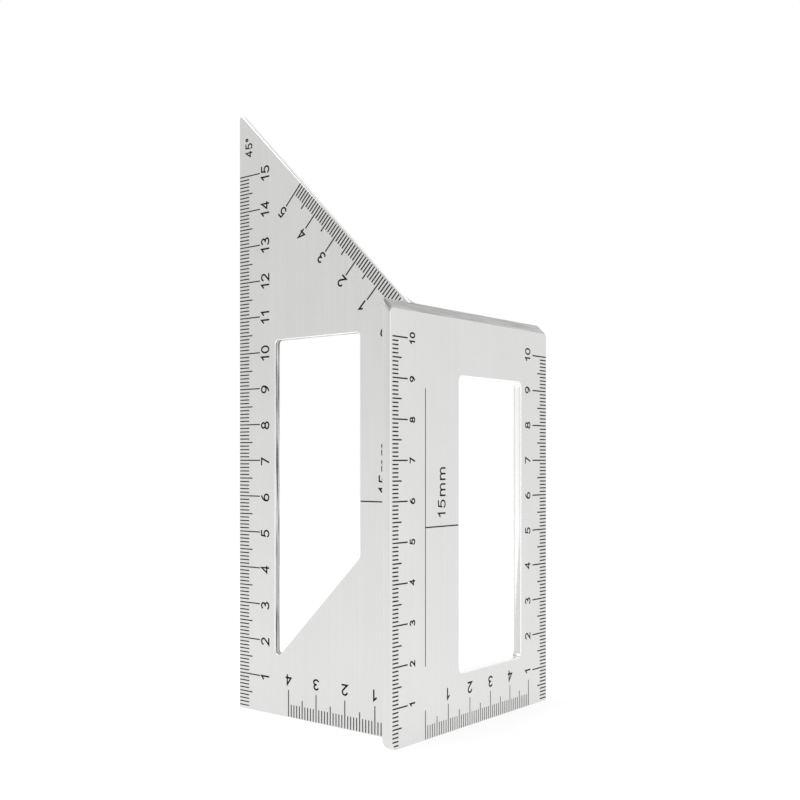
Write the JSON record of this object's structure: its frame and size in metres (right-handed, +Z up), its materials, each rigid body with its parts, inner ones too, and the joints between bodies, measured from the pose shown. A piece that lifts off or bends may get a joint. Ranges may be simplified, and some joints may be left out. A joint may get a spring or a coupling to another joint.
{
  "type": "mitre square",
  "caption": "Aluminium mitre and try square: a tall graduated blade with a mitred top stands square on a windowed fence whose stub projects in front of it.",
  "frame": {"origin": "bottom centre of the overall box, on the plane of the square-cut end that it stands on", "axes": "+X from the blade's free edge to the fence's outer face, +Y along the fence away from its stub, +Z up the blade's long edge"},
  "size_m": [0.0616, 0.0748, 0.1674],
  "materials": {
    "blade_metal": "satin clear anodised, fine lengthwise grain",
    "fence_metal": "satin clear anodised, fine lengthwise grain",
    "marking_ink": "black filled graduations and numerals"
  },
  "bodies": {
    "root": {"mitre_blade": "blade_metal", "fence": "fence_metal"}
  },
  "joints": []
}
